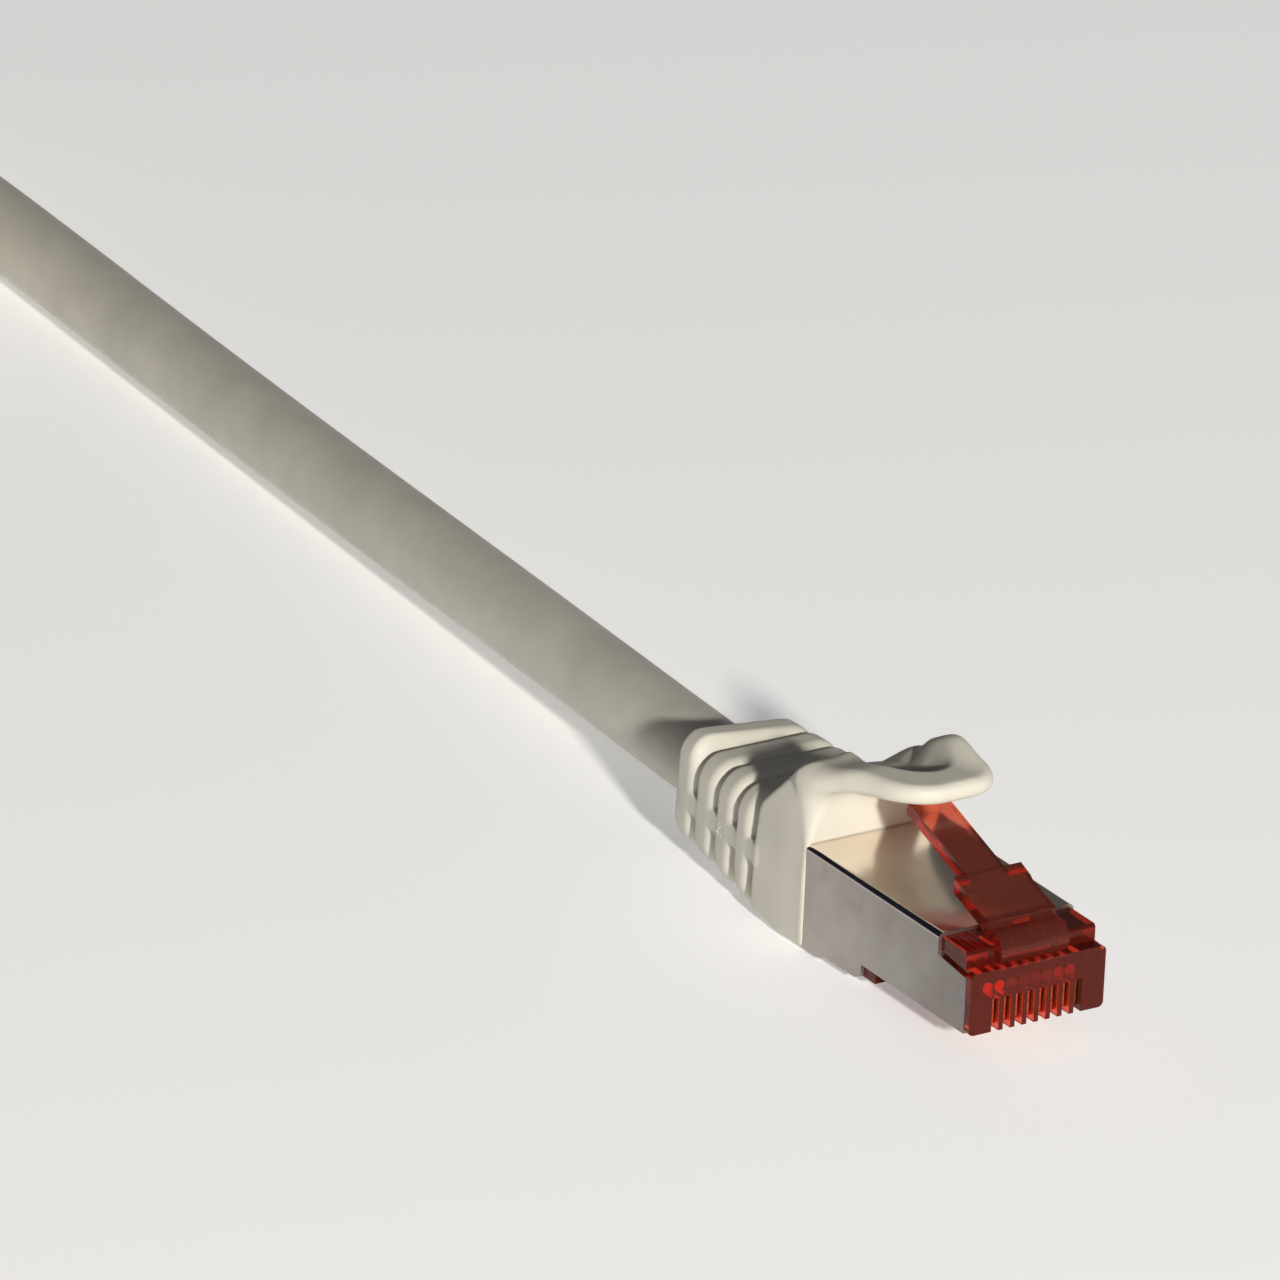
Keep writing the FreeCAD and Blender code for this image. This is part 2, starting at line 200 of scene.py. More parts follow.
def surface_of(field, low, high, cell):
    """Vertices and quads of a field's zero surface, by surface nets, drawn onto the surface."""
    axes = [np.arange(a, b + cell, cell) for a, b in zip(low, high)]
    grid = np.stack(np.meshgrid(*axes, indexing="ij"), axis=-1)
    value = field(grid)
    shape = np.array(value.shape) - 1
    total = np.zeros(tuple(shape) + (3,))
    count = np.zeros(tuple(shape))
    crossings = []
    for axis in range(3):
        start = np.take(value, range(shape[axis]), axis)
        end = np.take(value, range(1, shape[axis] + 1), axis)
        crossing = (start < 0) != (end < 0)
        share = np.where(crossing, start / np.where(start == end, 1, start - end), 0)
        points = np.take(grid, range(shape[axis]), axis).copy()
        points[..., axis] += share * cell
        others = [a for a in range(3) if a != axis]
        for first in (0, 1):
            for second in (0, 1):
                window = [slice(None)] * 3
                window[others[0]] = slice(first, first + shape[others[0]])
                window[others[1]] = slice(second, second + shape[others[1]])
                mask = crossing[tuple(window)]
                total += points[tuple(window)] * mask[..., None]
                count += mask
        crossings.append((crossing, start < 0))
    used = count > 0
    index = np.full(tuple(shape), -1)
    index[used] = np.arange(used.sum())
    points = total[used] / count[used][:, None]
    quads = []
    for axis in range(3):
        crossing, inside = crossings[axis]
        second, third = (axis + 1) % 3, (axis + 2) % 3
        where = np.argwhere(crossing)
        keep = np.ones(len(where), bool)
        for other in (second, third):
            keep &= (where[:, other] > 0) & (where[:, other] < shape[other])
        where = where[keep]
        corners = []
        for back_second, back_third in ((1, 1), (0, 1), (0, 0), (1, 0)):
            cell_at = where.copy()
            cell_at[:, second] -= back_second
            cell_at[:, third] -= back_third
            corners.append(index[tuple(cell_at.T)])
        faces = np.stack(corners, axis=1)
        outward = inside[tuple(where.T)]
        quads.append(np.where(outward[:, None], faces, faces[:, ::-1]))
    return draw_onto(field, points, cell), np.concatenate(quads)


def draw_onto(field, points, cell):
    """Moves points a little way along the field's slope, so that they lie on its zero surface."""
    step = 0.05 * cell
    for _ in range(3):
        slope = np.empty_like(points)
        for axis in range(3):
            nudge = np.zeros(3)
            nudge[axis] = step
            slope[:, axis] = (field(points + nudge) - field(points - nudge)) / (2 * step)
        size = np.maximum((slope ** 2).sum(axis=1), 0.2)
        move = -slope * (field(points) / size)[:, None]
        points = points + np.clip(move, -0.3 * cell, 0.3 * cell)
    return points


def field_piece(name, points, quads, place):
    mesh = bpy.data.meshes.new(name)
    mesh.from_pydata((points * MM + np.array(place)).tolist(), [], quads.tolist())
    mesh.shade_smooth()
    mesh.validate()
    return link(bpy.data.objects.new(name, mesh))


# ---------------------------------------------------------------- boot and contacts

def tail_frame(p):
    """The ribbed tail's own frame, in which all its ribs are the same upright size."""
    x, y, z = p[..., 0], p[..., 1], p[..., 2]
    width = 1 - TAIL_TAPER * np.maximum(RIB_REARS[-1] - x, 0) / BOOT_HALF
    end = smooth_step(RIB_REARS[1] - 0.2, RIB_REARS[1] - 1.2, x) * smooth_step(3, 7, z)
    height = z - end * (END_RISE - END_ROLL * (y + 3))
    return np.stack([x - TAIL_LEAN * (z - TAIL_Z), y / width, height], axis=-1)


def tail_field(p):
    """Four ribs on a core, sharp behind and well rounded in front, with a spine along each side."""
    q = tail_frame(p)
    x, y, z = q[..., 0], np.abs(q[..., 1]), q[..., 2]
    low, high = TAIL_Z - TAIL_HALF_HEIGHT, TAIL_Z + TAIL_HALF_HEIGHT
    shape = cross_section(q, CORE_HALF, low + CORE_BELOW, high - CORE_ABOVE, CORE_CORNER)
    shape = np.maximum(shape, RIB_REARS[0] + 0.5 - x)
    sleeve = rod(p, RIB_REARS[-1] - 1.2, RIB_REARS[-1] + 0.6, SLEEVE_RADIUS, CABLE_Z)
    shape = np.minimum(shape, sleeve)
    for rear, next_rear, bottom in zip(RIB_REARS, RIB_REARS[1:], RIB_BOTTOMS):
        outline = cross_section(q, BOOT_HALF, bottom, high, RIB_CORNER)
        heel = 0.25 + 0.9 * smooth_step(TAIL_Z - 1.5, bottom, z)
        rib = np.maximum(two_way(outline, rear - x, heel),
                         two_way(outline, x - next_rear + RIB_GAP, RIB_FRONT_ROUND))
        shape = soft_min(shape, rib, 0.2)
    side = y - BOOT_HALF
    spine = np.maximum(two_way(side, z - SPINE_HIGH, 0.4), two_way(side, SPINE_LOW - z, 0.15))
    spine = np.maximum(spine, RIB_REARS[0] + 0.7 - x)
    shape = soft_min(shape, spine, 0.15)
    return np.maximum(shape, x - RIB_REARS[-1] - 0.6)


def drift(x):
    """The thumb tab's middle line leans towards the far side as it goes forwards."""
    return TAB_DRIFT * np.maximum(x - BOOT_FRONT, 0)


def scoop(x, y):
    """How far a place is inside the thumb scoop, from 0 outside to 1 on its floor."""
    along = np.maximum(x - SCOOP_X, 0) / SCOOP_LENGTH
    middle = SCOOP_Y + drift(x) + 0.8 * smooth_step(-19.5, -22.5, x)
    inside = 1 - smooth_step(0.4, 1.0, np.hypot(along, (y - middle) / SCOOP_HALF))
    return inside * (1 + 0.25 * smooth_step(-22.5, -24.5, x))


def tab_top(x, y):
    """Height of the crest and thumb tab's upper face: a pad with a raised far rim round the scoop."""
    side = y - drift(x)
    rise = CREST_Z + TAB_RISE * smooth_step(-22.3, -18.0, x)
    far_rim = RIM_RISE * smooth_step(1.9, 4.5, side) * np.exp(-((x - RIM_X) / RIM_LENGTH) ** 2)
    far_fall = 0.8 * smooth_step(2.2, 4.6, side) * smooth_step(-20.8, -23.0, x)
    return rise + far_rim - far_fall - SCOOP_DEPTH * scoop(x, y)


def tab_under(x, y):
    """Height of the thumb tab's lower face."""
    side = y - drift(x)
    rise = TAB_UNDER_Z + 0.8 * smooth_step(BOOT_FRONT, -17.0, x) + 0.2 * smooth_step(-17.0, -14.0, x)
    far_rim = 0.6 * smooth_step(1.0, 4.3, side) * np.exp(-((x + 17.0) / 3.5) ** 2)
    return rise + far_rim - 0.55 * scoop(x, y)


def tab_field(p):
    """The thumb tab without its upper face: a curved sheet cut to a round-fronted plan."""
    x, y, z = p[..., 0], p[..., 1], p[..., 2]
    half = TAB_ROOT_HALF - TAB_NARROWING * smooth_step(-22.0, -15.0, x)
    corner = np.where(y > drift(x), FAR_CORNER, NEAR_CORNER)
    qx = x - (TAB_FRONT - corner)
    qy = np.abs(y - drift(x)) - (half - corner)
    plan = np.hypot(np.maximum(qx, 0), np.maximum(qy, 0)) + np.minimum(np.maximum(qx, qy), 0) - corner
    plan = np.maximum(plan, TAB_REAR - x)
    return two_way(plan, (tab_under(x, y) - z) * 0.95, 0.55)


def under_ramp(x, z, depth):
    """The half space that lies depth or more below the ramp, measured upwards."""
    along, up = RAMP_NORMAL
    return (z - (RAMP_Z - depth)) * up - (x - RAMP_X) * along


def collar_field(p):
    """The block that grips the plug's rear, without its top: sloping foot, rear ramp, leaning sides."""
    x, y, z = p[..., 0], np.abs(p[..., 1]), p[..., 2]
    y = y + MOUTH_TAPER * smooth_step(BOOT_FRONT - 3, BOOT_FRONT, x)
    ramp = under_ramp(x, z, 0)
    lean = ((y - BOOT_HALF) * LEAN_RISE + (z - SHELL_TOP) * LEAN_RUN) / math.hypot(LEAN_RISE, LEAN_RUN)
    foot_slope = (COLLAR_REAR_BOTTOM - BOOT_BOTTOM) / (RIB_REARS[-1] - FOOT_SLOPE_START)
    foot = np.maximum(BOOT_BOTTOM - z, (BOOT_BOTTOM + foot_slope * (x - FOOT_SLOPE_START)) - z)
    sides = soft_max(y - BOOT_HALF, lean, 0.5)
    across = two_way(sides, foot, 0.8)
    back = soft_max(RIB_REARS[-1] + TAIL_LEAN * (z - TAIL_Z) - x, ramp, 0.5)
    shape = two_way(across, back, 0.4)
    return two_way(shape, x - BOOT_FRONT, 0.3 + 1.1 * smooth_step(5.8, 9.5, z))


def boot_field(p):
    """The whole moulded boot with the pocket for the plug and the bore for the lead."""
    x, y, z = p[..., 0], p[..., 1], p[..., 2]
    head = soft_min(collar_field(p), tab_field(p), 2.2)
    edge = 0.75 + 0.6 * smooth_step(-18.5, -22.5, x) * smooth_step(1.0, 3.5, np.abs(y))
    head = two_way(head, (z - tab_top(x, y)) * 0.93, edge)
    shape = soft_min(tail_field(p), head, 0.3)
    pocket = round_box(p, (POCKET_REAR, -POCKET_HALF, -1.5), (-15.0, POCKET_HALF, SHELL_TOP), 0.25)
    pocket = np.maximum(pocket, z - SHELL_TOP + 0.02)
    cavity = np.maximum(rod(p, -27.0, POCKET_REAR + 0.25, 3.95, CABLE_Z), under_ramp(x, z, CAVITY_ROOF))
    bore = rod(p, RIB_REARS[0] - 2, -26.5, CABLE_RADIUS - 0.05, CABLE_Z)
    for hollow in (pocket, cavity, bore):
        shape = soft_max(shape, -hollow, 0.12)
    return shape


def bmesh_piece(name, tool, made):
    """A finished piece on the cable's body from a bmesh."""
    mesh = bpy.data.meshes.new(name)
    tool.to_mesh(mesh)
    tool.free()
    piece = link(bpy.data.objects.new(name, mesh))
    dress(piece, made)
    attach(piece, "cable_body")
    return piece


def gate_mark(name, place, made):
    """The rough little scar on the spine where the moulding gate was cut off."""
    tool = bmesh.new()
    for index in range(GATE_GRAINS):
        turn = index * 2.4
        reach = 0.12 * math.sqrt(index)
        size = 0.11 + 0.08 * math.sin(index * 1.7) ** 2
        at = Vector((GATE[0] + reach * math.cos(turn), GATE[1], GATE[2] + 1.5 * reach * math.sin(turn)))
        before = set(tool.verts)
        bmesh.ops.create_icosphere(tool, subdivisions=1, radius=size * MM)
        for vertex in set(tool.verts) - before:
            vertex.co.y *= 0.5
            vertex.co += at * MM + place
    return bmesh_piece(name, tool, made)


def blade_outline():
    """One blade's outline in x and z, round at its lower front corner."""
    outline = [(BLADE_REAR, BLADE_BOTTOM)]
    for turn in (math.pi / 2, math.pi / 3, math.pi / 6, 0):
        x = BLADE_FRONT - BLADE_NOSE * (1 - math.cos(turn))
        outline.append((x, BLADE_BOTTOM + BLADE_NOSE * (1 - math.sin(turn))))
    outline.append((BLADE_FRONT, BLADE_TOP))
    outline.append((BLADE_FRONT - BLADE_FRONT_WIDTH, BLADE_TOP))
    outline.append((BLADE_FRONT - BLADE_FRONT_WIDTH, BLADE_SHOULDER))
    for tooth in TOOTH_XS:
        outline.append((tooth + TOOTH_HALF, BLADE_SHOULDER))
        outline.append((tooth, TOOTH_TIP))
        outline.append((tooth - TOOTH_HALF, BLADE_SHOULDER))
    outline.append((BLADE_REAR, BLADE_SHOULDER))
    return outline


def gold_blades(name, place, made):
    """Eight contact blades with rounded noses that stand in the slots, each with its piercing teeth."""
    outline = blade_outline()
    tool = bmesh.new()
    for index in range(CONTACT_COUNT):
        y = (index - (CONTACT_COUNT - 1) / 2) * CONTACT_PITCH
        low, high = y - BLADE_THICKNESS / 2, y + BLADE_THICKNESS / 2
        right = [tool.verts.new(Vector((x, low, z)) * MM + place) for x, z in outline]
        left = [tool.verts.new(Vector((x, high, z)) * MM + place) for x, z in outline]
        tool.faces.new(right)
        tool.faces.new(left[::-1])
        for first in range(len(outline)):
            second = (first + 1) % len(outline)
            tool.faces.new((right[second], right[first], left[first], left[second]))
    bmesh.ops.recalc_face_normals(tool, faces=tool.faces)
    return bmesh_piece(name, tool, made)


# ---------------------------------------------------------------- materials

def material(name):
    made = bpy.data.materials.new(name)
    made.use_nodes = True
    return made, made.node_tree.nodes, made.node_tree.links


def noise(nodes, links, scale, detail=3.0, roughness=0.55, stretch=None):
    """Noise in object space. Scale is in cycles per metre."""
    coordinates = nodes.new("ShaderNodeTexCoord")
    texture = nodes.new("ShaderNodeTexNoise")
    texture.inputs["Scale"].default_value = scale
    texture.inputs["Detail"].default_value = detail
    texture.inputs["Roughness"].default_value = roughness
    source = coordinates.outputs["Object"]
    if stretch:
        mapping = nodes.new("ShaderNodeMapping")
        mapping.inputs["Scale"].default_value = stretch
        links.new(source, mapping.inputs["Vector"])
        source = mapping.outputs["Vector"]
    links.new(source, texture.inputs["Vector"])
    return texture.outputs["Fac"]


def ramp(nodes, links, source, stops):
    """A colour ramp through (place, colour) stops."""
    node = nodes.new("ShaderNodeValToRGB")
    elements = node.color_ramp.elements
    while len(elements) < len(stops):
        elements.new(0.5)
    for element, (at, colour) in zip(elements, stops):
        element.position = at
        element.color = (*colour, 1) if len(colour) == 3 else colour
    links.new(source, node.inputs["Fac"])
    return node.outputs["Color"]


def levels(nodes, links, source, low, high):
    """A number that runs from low to high as source goes from 0.3 to 0.7."""
    node = nodes.new("ShaderNodeMapRange")
    node.inputs["From Min"].default_value = 0.3
    node.inputs["From Max"].default_value = 0.7
    node.inputs["To Min"].default_value = low
    node.inputs["To Max"].default_value = high
    links.new(source, node.inputs["Value"])
    return node.outputs["Result"]


def bump(nodes, links, height, distance, strength=1.0, normal=None):
    node = nodes.new("ShaderNodeBump")
    node.inputs["Strength"].default_value = strength
    node.inputs["Distance"].default_value = distance
    links.new(height, node.inputs["Height"])
    if normal:
        links.new(normal, node.inputs["Normal"])
    return node.outputs["Normal"]


def pvc(name, light, dark, grain):
    """Soft grey PVC: faint mottling, a fine moulded grain and a low sheen."""
    made, nodes, links = material(name)
    shader = nodes["Principled BSDF"]
    mottle = noise(nodes, links, 160, 4)
    links.new(ramp(nodes, links, mottle, [(0.3, dark), (0.7, light)]), shader.inputs["Base Color"])
    links.new(levels(nodes, links, noise(nodes, links, 900, 2), 0.46, 0.62), shader.inputs["Roughness"])
    wave = bump(nodes, links, noise(nodes, links, 260, 2), 0.00004)
    fine = bump(nodes, links, noise(nodes, links, grain, 3), 0.000012, 0.7, wave)
    links.new(fine, shader.inputs["Normal"])
    shader.inputs["Subsurface Weight"].default_value = 0.12
    shader.inputs["Subsurface Radius"].default_value = (0.0012, 0.001, 0.0007)
    shader.inputs["Subsurface Scale"].default_value = 1.0
    shader.inputs["Specular IOR Level"].default_value = 0.4
    return made


def clear_red(name, light, dark, clear, depth_colour, density):
    """Clear red polycarbonate with faint flow marks, darker where it is deeper."""
    made, nodes, links = material(name)
    shader = nodes["Principled BSDF"]
    flow = noise(nodes, links, 350, 3)
    links.new(ramp(nodes, links, flow, [(0.3, dark), (0.7, light)]), shader.inputs["Base Color"])
    links.new(levels(nodes, links, noise(nodes, links, 700, 2), 0.04, 0.12), shader.inputs["Roughness"])
    shader.inputs["Transmission Weight"].default_value = clear
    shader.inputs["IOR"].default_value = 1.55
    shader.inputs["Specular IOR Level"].default_value = 0.25
    shader.inputs["Specular Tint"].default_value = (0.75, 0.3, 0.25, 1)
    links.new(bump(nodes, links, noise(nodes, links, 500, 2), 0.000015), shader.inputs["Normal"])
    depth = nodes.new("ShaderNodeVolumeAbsorption")
    depth.inputs["Color"].default_value = (*depth_colour, 1)
    depth.inputs["Density"].default_value = density
    links.new(depth.outputs["Volume"], nodes["Material Output"].inputs["Volume"])
    return made


def metal(name, light, dark, low, high, scale, stretch=None, wave=0.00002):
    """Plain metal with blotches of colour, gloss that varies, and a slight wave."""
    made, nodes, links = material(name)
    shader = nodes["Principled BSDF"]
    blotch = noise(nodes, links, scale, 4, 0.6, stretch)
    links.new(ramp(nodes, links, blotch, [(0.35, dark), (0.65, light)]), shader.inputs["Base Color"])
    shader.inputs["Metallic"].default_value = 1.0
    fine = noise(nodes, links, scale * 3, 3, 0.6, stretch)
    links.new(levels(nodes, links, fine, low, high), shader.inputs["Roughness"])
    coarse = noise(nodes, links, scale * 0.8, 2, 0.5, stretch)
    links.new(bump(nodes, links, coarse, wave), shader.inputs["Normal"])
    return made


def colour_mix(nodes, links, first, second, blend="MIX", factor=None):
    """Two colours mixed by factor, or blended in full without one."""
    node = nodes.new("ShaderNodeMix")
    node.data_type = "RGBA"
    node.blend_type = blend
    if factor:
        links.new(factor, node.inputs["Factor"])
    else:
        node.inputs["Factor"].default_value = 1.0
    links.new(first, node.inputs["A"])
    links.new(second, node.inputs["B"])
    return node.outputs["Result"]


def upward_mask(nodes, links, coordinates):
    """A number that is 0 on the upright sides of a piece and 1 on its top."""
    parts = nodes.new("ShaderNodeSeparateXYZ")
    links.new(coordinates.outputs["Normal"], parts.inputs["Vector"])
    mask = nodes.new("ShaderNodeMapRange")
    mask.inputs["From Min"].default_value = 0.05
    mask.inputs["From Max"].default_value = 0.4
    links.new(parts.outputs["Z"], mask.inputs["Value"])
    return mask.outputs["Result"]


def shield_metal():
    """Nickel-plated sheet: satin, stained sides painted darker than the top as painted shade, with more
    painted shade towards the nose, and a brighter, smoother top.
    """
    made, nodes, links = material("nickel_sheet")
    shader = nodes["Principled BSDF"]
    coordinates = nodes.new("ShaderNodeTexCoord")
    upward = upward_mask(nodes, links, coordinates)
    # Sides: random stain blotches, with the whole colour set low as painted shade
    stain_and_side_shade = ramp(nodes, links, noise(nodes, links, 130, 4, 0.6),
                 [(0.3, (0.36, 0.31, 0.28)), (0.5, (0.44, 0.40, 0.37)), (0.7, (0.49, 0.465, 0.44))])
    # Painted shade: the sides' colour darkens along the piece's length towards the nose
    along = nodes.new("ShaderNodeSeparateXYZ")
    links.new(coordinates.outputs["Generated"], along.inputs["Vector"])
    painted_nose_shade = ramp(nodes, links, along.outputs["X"], [(0.3, (1.0, 1.0, 1.0)), (1.0, (0.6, 0.59, 0.6))])
    shaded_stained_sides = colour_mix(nodes, links, stain_and_side_shade, painted_nose_shade, "MULTIPLY")
    # Top: the sheet's own brighter colour, used where the normal points up; the darker sides are painted
    # shade
    top_colour = ramp(nodes, links, noise(nodes, links, 160, 3, 0.55),
                 [(0.3, (0.80, 0.72, 0.63)), (0.7, (0.88, 0.81, 0.73))])
    links.new(colour_mix(nodes, links, shaded_stained_sides, top_colour, factor=upward), shader.inputs["Base Color"])
    shader.inputs["Metallic"].default_value = 1.0
    gloss = nodes.new("ShaderNodeMix")
    links.new(upward, gloss.inputs["Factor"])
    links.new(levels(nodes, links, noise(nodes, links, 420, 3), 0.34, 0.48), gloss.inputs["A"])
    links.new(levels(nodes, links, noise(nodes, links, 300, 3), 0.12, 0.2), gloss.inputs["B"])
    links.new(gloss.outputs["Result"], shader.inputs["Roughness"])
    links.new(bump(nodes, links, noise(nodes, links, 140, 1), 0.00003), shader.inputs["Normal"])
    return made


def insulation(name, light, dark):
    """Smooth coloured plastic with faint mottling."""
    made, nodes, links = material(name)
    shader = nodes["Principled BSDF"]
    mottle = noise(nodes, links, 700, 3)
    links.new(ramp(nodes, links, mottle, [(0.3, dark), (0.7, light)]), shader.inputs["Base Color"])
    links.new(levels(nodes, links, noise(nodes, links, 2500, 2), 0.3, 0.45), shader.inputs["Roughness"])
    links.new(bump(nodes, links, noise(nodes, links, 3000, 2), 0.00001), shader.inputs["Normal"])
    return made


def dress(piece, made):
    """Gives a piece one material in place of any that it has."""
    piece.data.materials.clear()
    piece.data.materials.append(made)
    for polygon in getattr(piece.data, "polygons", ()):
        polygon.material_index = 0


# ---------------------------------------------------------------- clear parts with softened edges

def softened(node, name, body):
    """A CAD node's shape with small rounded edges, in place of the node."""
    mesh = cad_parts[node].data.copy()
    tool = bmesh.new()
    tool.from_mesh(mesh)
    bmesh.ops.remove_doubles(tool, verts=tool.verts, dist=2e-6)
    bmesh.ops.dissolve_limit(tool, angle_limit=math.radians(1), verts=tool.verts, edges=tool.edges)
    tool.to_mesh(mesh)
    tool.free()
    mesh.shade_smooth()
    piece = link(bpy.data.objects.new(name, mesh))
    edges = piece.modifiers.new("edges", "BEVEL")
    edges.width = SOFT_EDGE * MM
    edges.segments = 3
    edges.limit_method = "ANGLE"
    edges.angle_limit = math.radians(35)
    edges.use_clamp_overlap = True
    shading = piece.modifiers.new("shading", "WEIGHTED_NORMAL")
    shading.weight = 100
    settled = bpy.data.meshes.new_from_object(piece.evaluated_get(bpy.context.evaluated_depsgraph_get()))
    piece.modifiers.clear()
    piece.data = settled
    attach(piece, body)
    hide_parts(node)
    return piece


# ---------------------------------------------------------------- lead

def route_point(x, y, z):
    """A point of the route in metres, from the row frame's millimetres."""
    return (x * MM, y * MM, z * MM)


# The lead's route, as in part.py, in the row frame
NEAR_ROUTE = [(-3.7, 0, 5.2), (-19.0, 0, 5.2), (-48.0, 2.4, 4.55), (-103.0, 6.5, 3.4),
              (-150.5, 10.0, 3.25)]
COIL_CENTRE = (-175.3, -24.85)
FAR_ROUTE = [(-161.3, -60.6, 9.75), (-137.3, -60.6, 5.2), (-122.0, -60.6, 5.2)]
OUTER_TURN = 35.75
INNER_TURN = 29.25
TURNS = 3.5
POINTS_PER_TURN = 16


def coil_points():
    """Control points of the coiled turns: two turns low, then two high, an outer and an inner ring."""
    corner = 1 / math.cos(math.pi / POINTS_PER_TURN)
    steps = int(TURNS * POINTS_PER_TURN)
    points = []
    for step in range(steps + 1):
        turn = step / POINTS_PER_TURN
        inner = smooth_step(0.75, 1.0, turn) - smooth_step(2.5, 2.7, turn)
        radius = (OUTER_TURN + (INNER_TURN - OUTER_TURN) * inner) * corner
        if step in (0, steps):
            radius = OUTER_TURN
        height = CABLE_RADIUS + 2 * CABLE_RADIUS * smooth_step(1.6, 1.9, turn)
        angle = math.pi / 2 + 2 * math.pi * turn
        x = COIL_CENTRE[0] + radius * math.cos(angle)
        y = COIL_CENTRE[1] + radius * math.sin(angle)
        points.append((x, y, height))
    return points


def lead():
    """The jacket, one smooth round curve along the whole route."""
    curve = bpy.data.curves.new("cable", "CURVE")
    curve.dimensions = "3D"
    spline = curve.splines.new("NURBS")
    points = [route_point(*p) for p in NEAR_ROUTE + coil_points() + FAR_ROUTE]
    spline.points.add(len(points) - 1)
    for knot, at in zip(spline.points, points):
        knot.co = (*at, 1)
    spline.order_u = 3
    spline.use_endpoint_u = True
    spline.resolution_u = 12
    curve.bevel_depth = CABLE_RADIUS * MM
    curve.bevel_resolution = 12
    curve.use_fill_caps = True
    return link(bpy.data.objects.new("cable", curve))


# ---------------------------------------------------------------- building

boot_pvc = pvc("boot_pvc", (0.60, 0.575, 0.50), (0.53, 0.51, 0.44), 5200)
gate_pvc = pvc("gate_pvc", (0.72, 0.69, 0.62), (0.60, 0.57, 0.50), 9000)
cable_pvc = pvc("cable_pvc", (0.60, 0.575, 0.505), (0.52, 0.50, 0.435), 3800)
block_red = clear_red("block_red", (0.90, 0.11, 0.06), (0.80, 0.08, 0.045), 0.94, (0.93, 0.6, 0.5), 300)
latch_red = clear_red("latch_red", (0.93, 0.32, 0.22), (0.86, 0.25, 0.16), 0.96, (0.86, 0.35, 0.25), 900)
nickel = shield_metal()
gold = metal("gold_plating", (0.84, 0.52, 0.24), (0.70, 0.40, 0.17), 0.2, 0.34, 900)
foil = metal("screen_foil", (0.88, 0.88, 0.88), (0.75, 0.75, 0.76), 0.1, 0.3, 600, None, 0.0001)
braid = metal("tinned_braid", (0.75, 0.75, 0.74), (0.45, 0.44, 0.42), 0.25, 0.4, 1800, (1, 3, 1), 0.0001)
comb = insulation("comb_plastic", (0.88, 0.88, 0.86), (0.78, 0.78, 0.75))
SIMPLE = {
    "shield_shell": nickel,
    "load_bar": comb,
    "orange_pair": insulation("orange_insulation", (0.88, 0.38, 0.07), (0.78, 0.30, 0.04)),
    "green_pair": insulation("green_insulation", (0.10, 0.42, 0.15), (0.06, 0.32, 0.10)),
    "blue_pair": insulation("blue_insulation", (0.07, 0.18, 0.62), (0.04, 0.12, 0.50)),
    "brown_pair": insulation("brown_insulation", (0.28, 0.14, 0.07), (0.20, 0.09, 0.04)),
    "foil_screen": foil,
    "braid_cuff": braid,
}

cable = lead()
dress(cable, cable_pvc)
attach(cable, "cable_body")
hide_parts("cable_near_lead", "cable_coil", "cable_far_lead")

boot_points, boot_quads = surface_of(boot_field, BOOT_GRID_LOW, BOOT_GRID_HIGH, BOOT_CELL)
far_pieces = []
for end in ENDS:
    place = place_of(end)
    boot = field_piece(end + "_moulded_boot", boot_points, boot_quads, place)
    dress(boot, boot_pvc)
    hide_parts(end + "_boot", end + "_boot_tab")
    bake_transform(boot)
    gate = gate_mark(end + "_gate_mark", place, gate_pvc)
    blades = gold_blades(end + "_gold_blades", place, gold)
    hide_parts(end + "_contacts")
    housing = softened(end + "_plug_housing", end + "_clear_housing", "cable_body")
    latch = softened(end + "_plug_latch", end + "_clear_latch", end + "_latch")
    for piece, made in ((housing, block_red), (latch, latch_red)):
        dress(piece, made)
    for part, made in SIMPLE.items():
        dress(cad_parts[end + "_" + part], made)
    if end == "far":
        far_pieces = [boot, gate, blades, housing, latch]
        far_pieces += [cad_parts["far_" + part] for part in SIMPLE]


# ---------------------------------------------------------------- floor, lights, camera

# In metres
FLOOR_REACH = 3.0
KEY_AIM = Vector((-0.01, 0, 0.01))
KEY_DIRECTION = Vector((0.913, -0.242, 0.329)).normalized()
KEY_DISTANCE = 1.5
KEY_SIZE = 0.1
KEY_POWER = 28                   # watts
KEY_COLOUR = (1.0, 0.97, 0.91)
CARD_DIRECTION = Vector((-0.77, -0.38, 0.5)).normalized()
CAMERA_PLACE = Vector((0.68548, -0.47323, 0.37711))
CAMERA_AIM = Vector((-0.03424, 0.0, 0.01126))
CAMERA_ROLL = 2.6                # degrees
CAMERA_LENS = 351.56             # millimetres, on a sensor 36 mm wide


def floor():
    """A large plain pale floor at z = 0."""
    mesh = bpy.data.meshes.new("floor")
    corners = [(-FLOOR_REACH, -FLOOR_REACH, 0), (FLOOR_REACH, -FLOOR_REACH, 0),
               (FLOOR_REACH, FLOOR_REACH, 0), (-FLOOR_REACH, FLOOR_REACH, 0)]
    mesh.from_pydata(corners, [], [(0, 1, 2, 3)])
    made, nodes, _ = material("pale_floor")
    nodes["Principled BSDF"].inputs["Base Color"].default_value = (0.93, 0.93, 0.93, 1)
    nodes["Principled BSDF"].inputs["Roughness"].default_value = 0.9
    nodes["Principled BSDF"].inputs["Emission Color"].default_value = (1, 1, 1, 1)
    nodes["Principled BSDF"].inputs["Emission Strength"].default_value = 0.28
    mesh.materials.append(made)
    link(bpy.data.objects.new("floor", mesh))


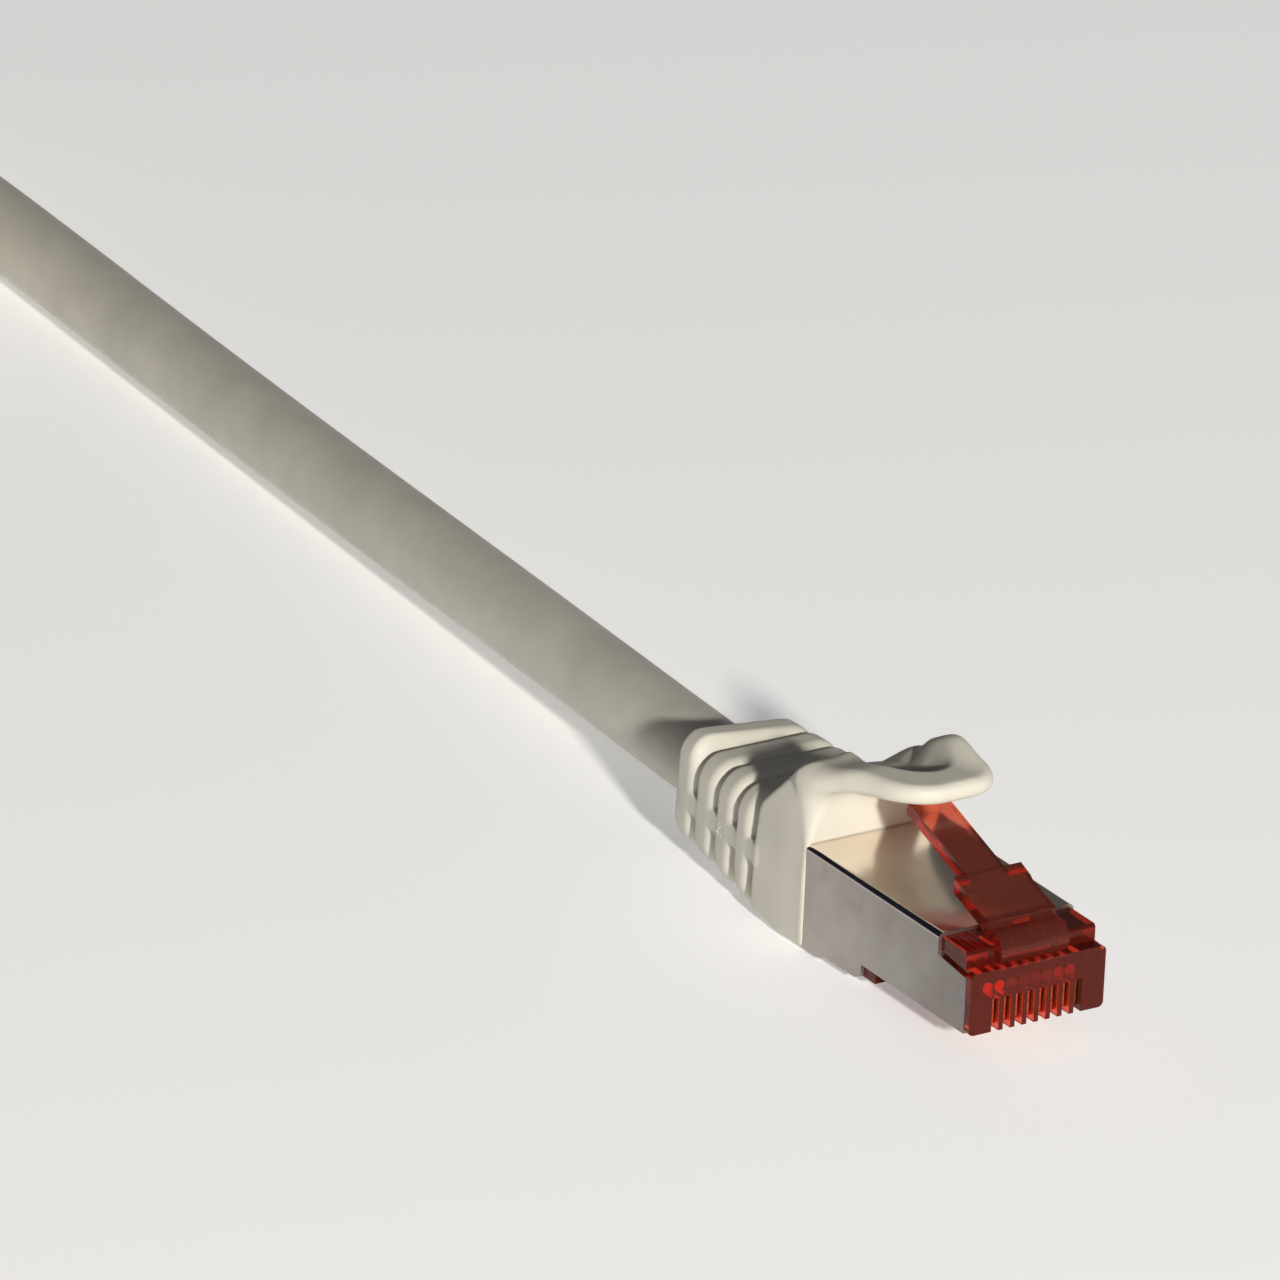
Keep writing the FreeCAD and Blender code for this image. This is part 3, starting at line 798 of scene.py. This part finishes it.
def area_light(name, place, aim, size, power, colour):
    """A round lamp at place that faces aim."""
    light = bpy.data.lights.new(name, "AREA")
    light.shape = "DISK"
    light.size = size
    light.energy = power
    light.color = colour
    lamp = link(bpy.data.objects.new(name, light))
    lamp.location = place
    lamp.rotation_euler = (Vector(aim) - Vector(place)).to_track_quat("-Z", "Y").to_euler()


def studio_world():
    """A surround, pale near the floor and dim above, with a soft dark card that gives metal its edges."""
    world = bpy.data.worlds.new("studio")
    scene.world = world
    world.use_nodes = True
    nodes, links = world.node_tree.nodes, world.node_tree.links
    coordinates = nodes.new("ShaderNodeTexCoord")
    parts = nodes.new("ShaderNodeSeparateXYZ")
    links.new(coordinates.outputs["Generated"], parts.inputs["Vector"])
    sky = ramp(nodes, links, parts.outputs["Z"],
               [(0.0, (0.62, 0.62, 0.62)), (0.1, (0.5, 0.5, 0.5)),
                (0.2, (0.15, 0.145, 0.14)), (1.0, (0.17, 0.17, 0.18))])
    toward = nodes.new("ShaderNodeVectorMath")
    toward.operation = "DOT_PRODUCT"
    toward.inputs[1].default_value = CARD_DIRECTION
    links.new(coordinates.outputs["Generated"], toward.inputs[0])
    card = ramp(nodes, links, toward.outputs["Value"],
                [(0.3, (1.0, 1.0, 1.0)), (0.6, (0.5, 0.48, 0.46)), (0.85, (0.06, 0.07, 0.12))])
    links.new(colour_mix(nodes, links, sky, card, "MULTIPLY"), nodes["Background"].inputs["Color"])


def set_camera():
    """The camera, a long lens from the front, left and above."""
    data = bpy.data.cameras.new("camera")
    data.lens = CAMERA_LENS
    data.sensor_width = 36
    data.clip_start = 0.05
    data.clip_end = 20
    camera = link(bpy.data.objects.new("camera", data))
    camera.location = CAMERA_PLACE
    view = (CAMERA_AIM - camera.location).to_track_quat("-Z", "Y").to_matrix()
    roll = Matrix.Rotation(math.radians(CAMERA_ROLL), 3, "Z")
    camera.rotation_euler = (view @ roll).to_euler()
    scene.camera = camera


floor()
area_light("key", KEY_AIM + KEY_DIRECTION * KEY_DISTANCE, KEY_AIM, KEY_SIZE, KEY_POWER, KEY_COLOUR)
studio_world()
scene.view_settings.view_transform = "Standard"
set_camera()
